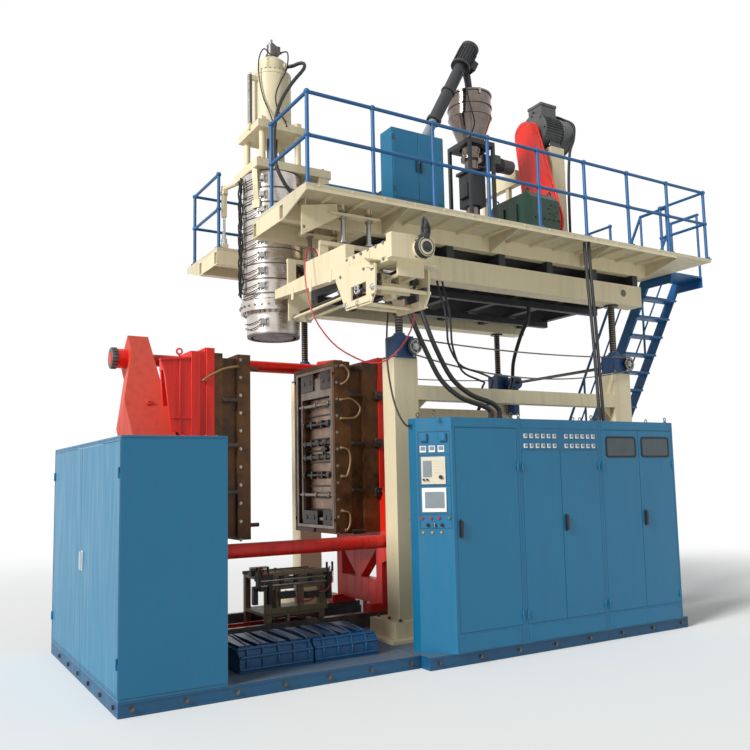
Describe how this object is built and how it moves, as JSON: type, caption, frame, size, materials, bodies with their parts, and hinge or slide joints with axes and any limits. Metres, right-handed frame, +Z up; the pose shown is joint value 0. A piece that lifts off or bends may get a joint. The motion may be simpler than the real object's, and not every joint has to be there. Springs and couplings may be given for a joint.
{
  "type": "blow moulding machine",
  "caption": "Large extrusion blow moulding machine with an accumulator head, a diagonal tie bar clamp, a lifting extruder platform and blue control cabinets.",
  "frame": {"origin": "on the floor under the axis of the die", "axes": "+X along the machine, to the right as seen from the operator side; +Y to the rear; +Z up"},
  "size_m": [8.079, 4.61, 7.1839],
  "materials": {
    "bare_steel": "satin",
    "base_blue": "satin",
    "button_green": "gloss",
    "button_red": "gloss",
    "cabinet_blue": "satin",
    "chrome_rod": "polished",
    "cream": "satin",
    "dark_steel": "matte",
    "door_blue": "satin",
    "gear_green": "satin",
    "guard_red": "gloss",
    "handle_black": "matte",
    "handle_white": "satin",
    "hopper_steel": "polished",
    "hose_black": "matte",
    "hose_red": "satin",
    "housing_door_blue": "satin",
    "jack_blue": "satin",
    "machined_steel": "satin",
    "motor_grey": "satin",
    "mould_steel": "worn",
    "moulded_blue": "satin",
    "rail_blue": "satin",
    "signal_red": "satin",
    "stainless": "satin",
    "yoke_red": "satin"
  },
  "bodies": {
    "frame": {"base": "base_blue", "left_housing": "cabinet_blue", "control_cabinets": "cabinet_blue", "support_frame": "cream", "screw_jacks": "jack_blue", "lift_chain": "machined_steel", "clamp_rails": "machined_steel", "blow_station": "cream", "moulded_panel": "moulded_blue", "floor_hoses": "hose_black"},
    "housing_door_front": {"housing_door_front": "housing_door_blue"},
    "housing_door_rear": {"housing_door_rear": "housing_door_blue"},
    "housing_handle": {"housing_handle": "handle_white"},
    "door_1": {"door_1": "door_blue"},
    "handle_1": {"handle_1": "handle_black"},
    "door_2_left": {"door_2_left": "door_blue"},
    "door_2_right": {"door_2_right": "door_blue"},
    "handle_2": {"handle_2": "handle_black"},
    "door_3_left": {"door_3_left": "door_blue"},
    "door_3_right": {"door_3_right": "door_blue"},
    "handle_3": {"handle_3": "handle_black"},
    "button_1": {"button_1": "button_red"},
    "button_2": {"button_2": "button_red"},
    "button_3": {"button_3": "button_red"},
    "button_4": {"button_4": "button_green"},
    "clamp_left": {"left_platen": "signal_red", "left_mould": "mould_steel", "ram_rod": "chrome_rod"},
    "clamp_right": {"right_platen": "signal_red", "right_mould": "mould_steel", "yoke": "yoke_red", "tie_bars": "signal_red"},
    "ram_stage_1": {"ram_stage_1": "chrome_rod"},
    "ram_stage_2": {"ram_stage_2": "chrome_rod"},
    "sync_pinion": {"sync_pinion": "machined_steel"},
    "line_shaft": {"line_shaft": "machined_steel"},
    "left_sprockets": {"left_sprockets": "machined_steel"},
    "platform": {"lift_screws": "bare_steel", "platform_beams": "cream", "platform_joists": "dark_steel", "deck": "cream", "railing": "rail_blue", "stair": "rail_blue", "head_body": "stainless", "head_cylinder": "cream", "barrel": "stainless", "gearbox": "gear_green", "belt_guard": "guard_red", "motor": "motor_grey", "deck_stands": "cream", "hopper": "hopper_steel", "loader": "dark_steel", "deck_box": "cabinet_blue", "parison_beam": "cream", "head_hoses": "hose_black", "air_hose": "hose_red"},
    "carriage": {"carriage": "cream"},
    "mandrel": {"mandrel": "bare_steel"},
    "extruder_screw": {"extruder_screw": "machined_steel"},
    "blow_pin": {"blow_pin": "chrome_rod"}
  },
  "joints": [
    {"name": "door_1_swing", "type": "hinge", "parent": "frame", "child": "door_1", "pos_m": [1.5615, -2.105, 1], "axis": [0, 0, 1], "range_deg": [0, 90]},
    {"name": "door_2_left_swing", "type": "hinge", "parent": "frame", "child": "door_2_left", "pos_m": [1.6235, -2.105, 1], "axis": [0, 0, -1], "range_deg": [0, 90]},
    {"name": "door_2_right_swing", "type": "hinge", "parent": "frame", "child": "door_2_right", "pos_m": [2.6415, -2.105, 1], "axis": [0, 0, 1], "range_deg": [0, 90]},
    {"name": "door_3_left_swing", "type": "hinge", "parent": "frame", "child": "door_3_left", "pos_m": [2.7005, -2.105, 1], "axis": [0, 0, -1], "range_deg": [0, 90]},
    {"name": "door_3_right_swing", "type": "hinge", "parent": "frame", "child": "door_3_right", "pos_m": [3.7735, -2.105, 1], "axis": [0, 0, 1], "range_deg": [0, 110]},
    {"name": "housing_door_front_swing", "type": "hinge", "parent": "frame", "child": "housing_door_front", "pos_m": [-2.098, -1.8915, 1], "axis": [0, 0, 1], "range_deg": [0, 100]},
    {"name": "housing_door_rear_swing", "type": "hinge", "parent": "frame", "child": "housing_door_rear", "pos_m": [-2.098, 0.7365, 1], "axis": [0, 0, -1], "range_deg": [0, 100]},
    {"name": "housing_handle_turn", "type": "hinge", "parent": "housing_door_front", "child": "housing_handle", "pos_m": [-2.09, -0.623, 1.01], "axis": [1, 0, 0], "range_deg": [0, 90]},
    {"name": "handle_1_turn", "type": "hinge", "parent": "door_1", "child": "handle_1", "pos_m": [0.87, -2.11, 1.195], "axis": [0, 1, 0], "range_deg": [0, 90]},
    {"name": "handle_2_turn", "type": "hinge", "parent": "door_2_right", "child": "handle_2", "pos_m": [2.165, -2.11, 1.195], "axis": [0, 1, 0], "range_deg": [0, 90]},
    {"name": "handle_3_turn", "type": "hinge", "parent": "door_3_right", "child": "handle_3", "pos_m": [3.305, -2.11, 1.195], "axis": [0, 1, 0], "range_deg": [0, 90]},
    {"name": "button_1_press", "type": "slide", "parent": "frame", "child": "button_1", "axis": [0.7071, 0.7071, 0], "range_m": [0, 0.005], "stiffness_N_per_m": 400},
    {"name": "button_2_press", "type": "slide", "parent": "frame", "child": "button_2", "axis": [0.7071, 0.7071, 0], "range_m": [0, 0.005], "stiffness_N_per_m": 400},
    {"name": "button_3_press", "type": "slide", "parent": "frame", "child": "button_3", "axis": [0.7071, 0.7071, 0], "range_m": [0, 0.005], "stiffness_N_per_m": 400},
    {"name": "button_4_press", "type": "slide", "parent": "frame", "child": "button_4", "axis": [0.7071, 0.7071, 0], "range_m": [0, 0.005], "stiffness_N_per_m": 400},
    {"name": "clamp_right_close", "type": "slide", "parent": "frame", "child": "clamp_right", "axis": [-1, 0, 0], "range_m": [0, 0.4745]},
    {"name": "clamp_left_close", "type": "slide", "parent": "frame", "child": "clamp_left", "axis": [1, 0, 0], "range_m": [0, 0.4745]},
    {"name": "ram_stage_1_extend", "type": "slide", "parent": "clamp_right", "child": "ram_stage_1", "axis": [1, 0, 0], "range_m": [0, 0.3164]},
    {"name": "ram_stage_2_extend", "type": "slide", "parent": "ram_stage_1", "child": "ram_stage_2", "axis": [1, 0, 0], "range_m": [0, 0.3164]},
    {"name": "sync_pinion_turn", "type": "hinge", "parent": "frame", "child": "sync_pinion", "pos_m": [0.33, 0, 0.175], "axis": [0, 0, -1], "range_deg": [0, 340]},
    {"name": "line_shaft_turn", "type": "hinge", "parent": "frame", "child": "line_shaft", "pos_m": [4.17, 0, 2.99], "axis": [0, 1, 0], "continuous": true},
    {"name": "left_sprockets_turn", "type": "hinge", "parent": "frame", "child": "left_sprockets", "pos_m": [1.018, 0, 2.99], "axis": [0, 1, 0], "continuous": true},
    {"name": "platform_lift", "type": "slide", "parent": "frame", "child": "platform", "axis": [0, 0, 1], "range_m": [0, 0.3]},
    {"name": "carriage_travel", "type": "slide", "parent": "platform", "child": "carriage", "axis": [0, 1, 0], "range_m": [0, 1.3]},
    {"name": "die_gap", "type": "slide", "parent": "platform", "child": "mandrel", "axis": [0, 0, 1], "range_m": [0, 0.05]},
    {"name": "extruder_screw_turn", "type": "hinge", "parent": "platform", "child": "extruder_screw", "pos_m": [1, 0, 4.745], "axis": [1, 0, 0], "continuous": true},
    {"name": "blow_pin_rise", "type": "slide", "parent": "frame", "child": "blow_pin", "axis": [0, 0, 1], "range_m": [0, 0.385]}
  ],
  "couplings": [
    {"joint": "clamp_left_close", "follows": "clamp_right_close", "ratio": 1},
    {"joint": "ram_stage_1_extend", "follows": "clamp_right_close", "ratio": 0.66667},
    {"joint": "ram_stage_2_extend", "follows": "clamp_right_close", "ratio": 0.66667},
    {"joint": "sync_pinion_turn", "follows": "clamp_right_close", "rad_per_m": 12.5},
    {"joint": "left_sprockets_turn", "follows": "line_shaft_turn", "ratio": 1}
  ]
}
